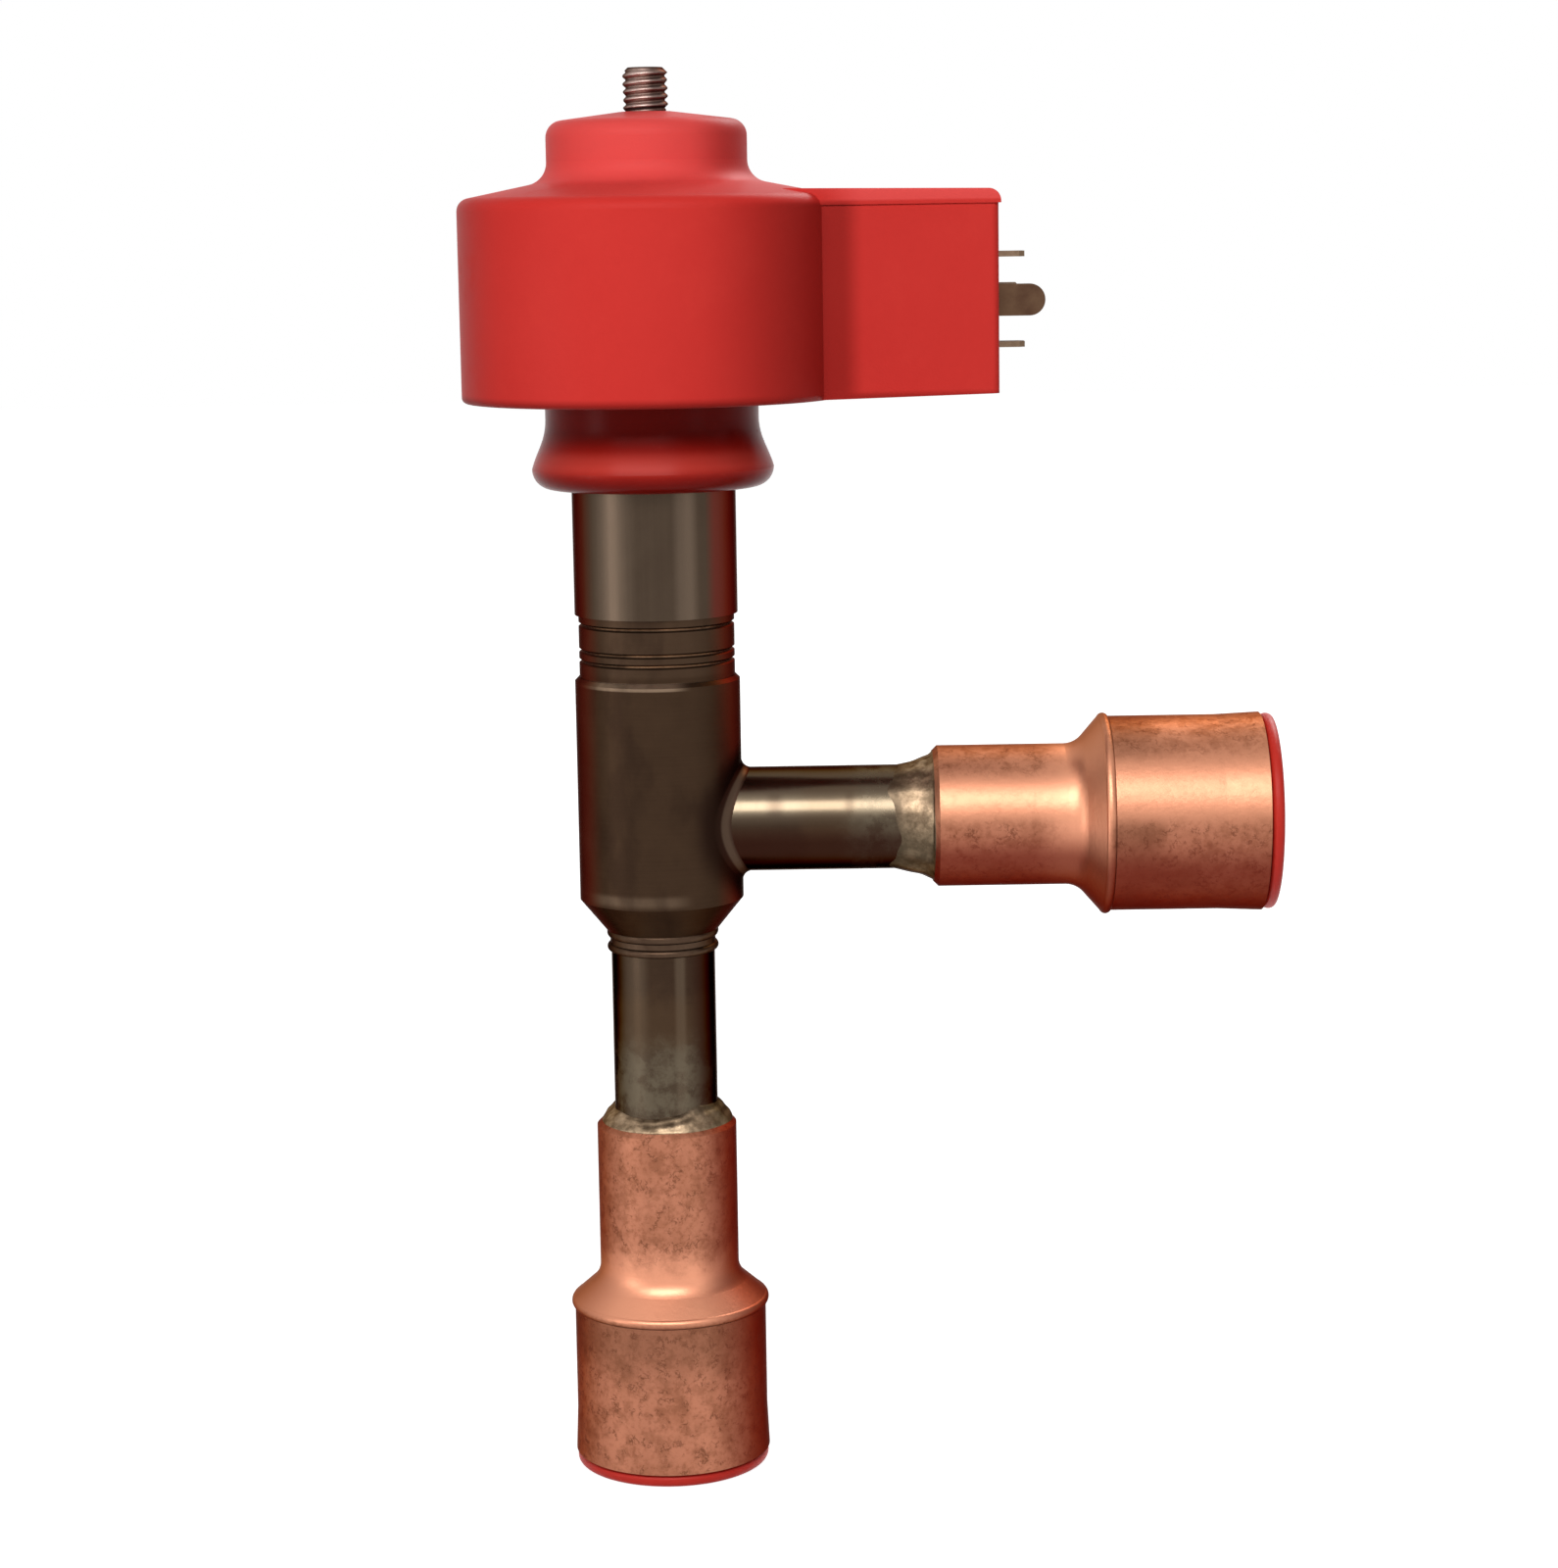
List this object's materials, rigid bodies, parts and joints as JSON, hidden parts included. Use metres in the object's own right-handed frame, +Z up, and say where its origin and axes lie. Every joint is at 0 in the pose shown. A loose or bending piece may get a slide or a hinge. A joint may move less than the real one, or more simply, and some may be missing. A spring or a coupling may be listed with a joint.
{
  "type": "electronic expansion valve",
  "caption": "Stepper-driven electronic expansion valve with a drum coil and plug box, a rotor can, a turned tee body, and belled copper reducers on its inlet branch and outlet.",
  "frame": {"origin": "centre of the outlet reducer's mouth, on the valve axis", "axes": "+Z up the valve axis towards the coil and its stud, +X towards the inlet branch and the coil's plug box, +Y away from the viewer of the picture"},
  "size_m": [0.073, 0.034, 0.1283],
  "materials": {
    "coil_plastic": "satin red moulding",
    "boot_rubber": "semi-gloss red rubber",
    "plug_plastic": "satin red",
    "steel_body": "turned, satin",
    "steel_can": "drawn, satin",
    "steel_stub": "drawn, heat tinted near the braze",
    "steel_inner": "turned",
    "copper": "copper, mottled and handled",
    "braze": "braze filler",
    "bronze": "turned",
    "blade_metal": "tinned",
    "magnet": "sintered",
    "carrier_plastic": "moulded",
    "bobbin_plastic": "moulded",
    "winding_wire": "enamelled wire",
    "stator_iron": "pressed, plated",
    "seal_rubber": "matt black"
  },
  "bodies": {
    "valve": {"valve_body": "steel_body", "body_collar": "steel_body", "rotor_can": "steel_can", "can_cap": "steel_can", "outlet_tube": "steel_stub", "inlet_tube": "steel_stub", "outlet_weld_bead": "steel_stub", "outlet_adaptor": "copper", "inlet_adaptor": "copper", "outlet_braze_ring": "braze", "inlet_braze_ring": "braze", "outlet_plug": "plug_plastic", "inlet_plug": "plug_plastic", "seat_insert": "steel_inner", "guide_bush": "bronze", "lower_bearing": "bronze", "upper_bearing": "bronze"},
    "rotor": {"rotor_magnet": "magnet", "rotor_hub": "carrier_plastic", "lead_screw": "steel_inner"},
    "needle": {"needle_carrier": "carrier_plastic", "valve_needle": "steel_inner"},
    "coil": {"stator_housing": "coil_plastic", "lower_boot": "boot_rubber", "stud_seal_ring": "seal_rubber", "lower_cup": "stator_iron", "lower_claw_ring": "stator_iron", "upper_claw_ring": "stator_iron", "upper_cup": "stator_iron", "lower_bobbin": "bobbin_plastic", "upper_bobbin": "bobbin_plastic", "lower_winding": "winding_wire", "upper_winding": "winding_wire", "upper_blade": "blade_metal", "lower_blade": "blade_metal", "earth_blade": "blade_metal", "rear_blade": "blade_metal", "plug_screw_insert": "bronze"}
  },
  "joints": [
    {"name": "coil_swivel", "type": "hinge", "parent": "valve", "child": "coil", "pos_m": [0, 0, 0.106], "axis": [0, 0, 1], "continuous": true},
    {"name": "rotor_spin", "type": "hinge", "parent": "valve", "child": "rotor", "pos_m": [0, 0, 0.1], "axis": [0, 0, -1], "range_deg": [0, 2400]},
    {"name": "needle_lift", "type": "slide", "parent": "valve", "child": "needle", "axis": [0, 0, 1], "range_m": [0, 0.005]}
  ],
  "couplings": [
    {"joint": "needle_lift", "follows": "rotor_spin", "m_per_rad": 0.00011937}
  ]
}
